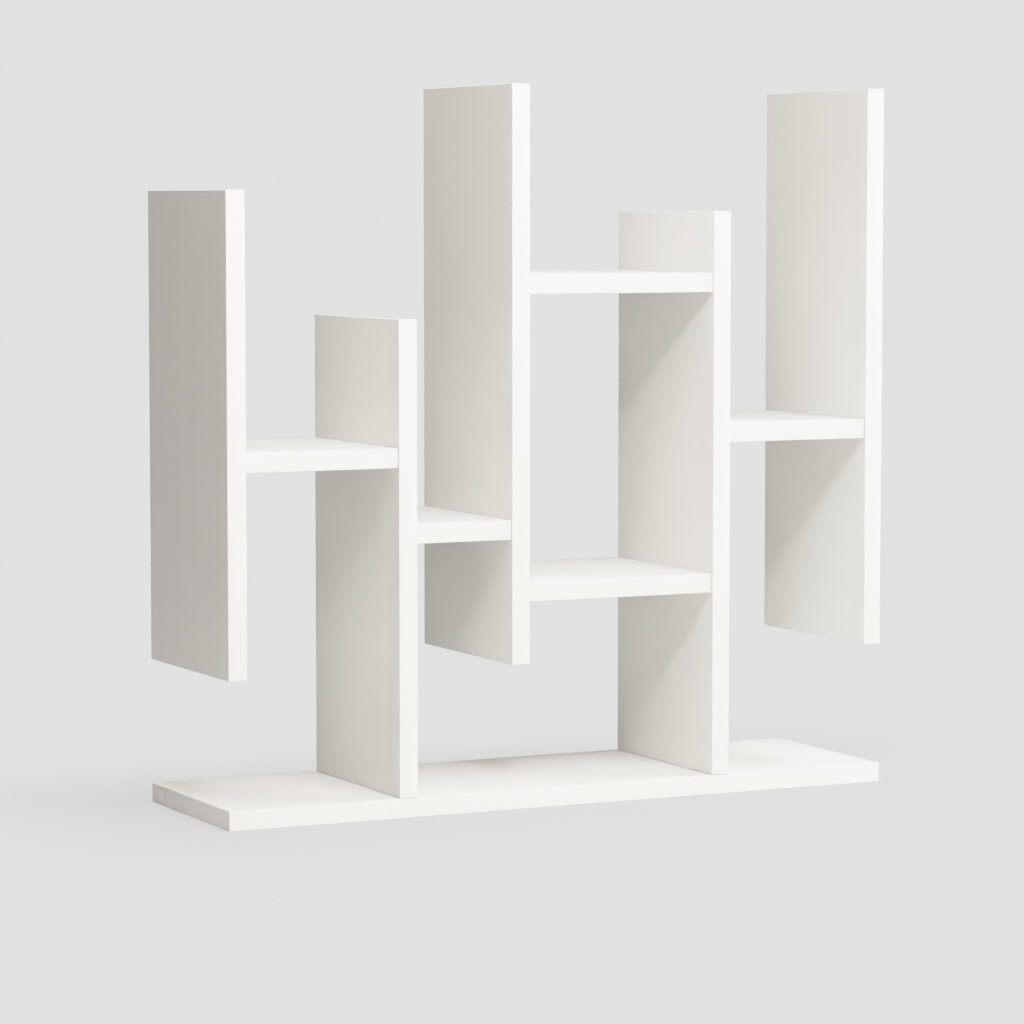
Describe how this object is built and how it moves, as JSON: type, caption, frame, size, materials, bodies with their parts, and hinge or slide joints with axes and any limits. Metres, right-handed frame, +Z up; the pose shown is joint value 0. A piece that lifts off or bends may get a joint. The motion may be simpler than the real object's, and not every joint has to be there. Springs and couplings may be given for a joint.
{
  "type": "desk-top shelving unit",
  "caption": "White open desk-top shelving unit: a long base board, standing and hanging uprights, and short shelves at staggered heights.",
  "frame": {"origin": "middle of the base board's underside, where the unit stands", "axes": "+X along the base board to the right as seen from the front, +Y from the front to the back, +Z up"},
  "size_m": [0.6, 0.17, 0.591],
  "materials": {
    "white_board": "satin white melamine-faced board",
    "die_cast_zinc": "bare die-cast zinc",
    "plated_steel": "zinc-plated steel",
    "beech": "bare beech"
  },
  "bodies": {
    "root": {"base_board": "white_board", "left_hanging_upright": "white_board", "short_standing_upright": "white_board", "centre_hanging_upright": "white_board", "tall_standing_upright": "white_board", "right_hanging_upright": "white_board", "left_shelf": "white_board", "bridge_shelf": "white_board", "lower_centre_shelf": "white_board", "upper_centre_shelf": "white_board", "right_shelf": "white_board", "left_shelf_cam_left": "die_cast_zinc", "left_shelf_bolt_left": "plated_steel", "left_shelf_dowel_left_front": "beech", "left_shelf_dowel_left_rear": "beech", "left_shelf_cam_right": "die_cast_zinc", "left_shelf_bolt_right": "plated_steel", "left_shelf_dowel_right_front": "beech", "left_shelf_dowel_right_rear": "beech", "bridge_shelf_cam_left": "die_cast_zinc", "bridge_shelf_bolt_left": "plated_steel", "bridge_shelf_dowel_left_front": "beech", "bridge_shelf_dowel_left_rear": "beech", "bridge_shelf_cam_right": "die_cast_zinc", "bridge_shelf_bolt_right": "plated_steel", "bridge_shelf_dowel_right_front": "beech", "bridge_shelf_dowel_right_rear": "beech", "lower_centre_shelf_cam_left": "die_cast_zinc", "lower_centre_shelf_bolt_left": "plated_steel", "lower_centre_shelf_dowel_left_front": "beech", "lower_centre_shelf_dowel_left_rear": "beech", "lower_centre_shelf_cam_right": "die_cast_zinc", "lower_centre_shelf_bolt_right": "plated_steel", "lower_centre_shelf_dowel_right_front": "beech", "lower_centre_shelf_dowel_right_rear": "beech", "upper_centre_shelf_cam_left": "die_cast_zinc", "upper_centre_shelf_bolt_left": "plated_steel", "upper_centre_shelf_dowel_left_front": "beech", "upper_centre_shelf_dowel_left_rear": "beech", "upper_centre_shelf_cam_right": "die_cast_zinc", "upper_centre_shelf_bolt_right": "plated_steel", "upper_centre_shelf_dowel_right_front": "beech", "upper_centre_shelf_dowel_right_rear": "beech", "right_shelf_cam_left": "die_cast_zinc", "right_shelf_bolt_left": "plated_steel", "right_shelf_dowel_left_front": "beech", "right_shelf_dowel_left_rear": "beech", "right_shelf_cam_right": "die_cast_zinc", "right_shelf_bolt_right": "plated_steel", "right_shelf_dowel_right_front": "beech", "right_shelf_dowel_right_rear": "beech", "short_standing_upright_screw_front": "plated_steel", "short_standing_upright_screw_rear": "plated_steel", "short_standing_upright_dowel": "beech", "tall_standing_upright_screw_front": "plated_steel", "tall_standing_upright_screw_rear": "plated_steel", "tall_standing_upright_dowel": "beech"}
  },
  "joints": []
}
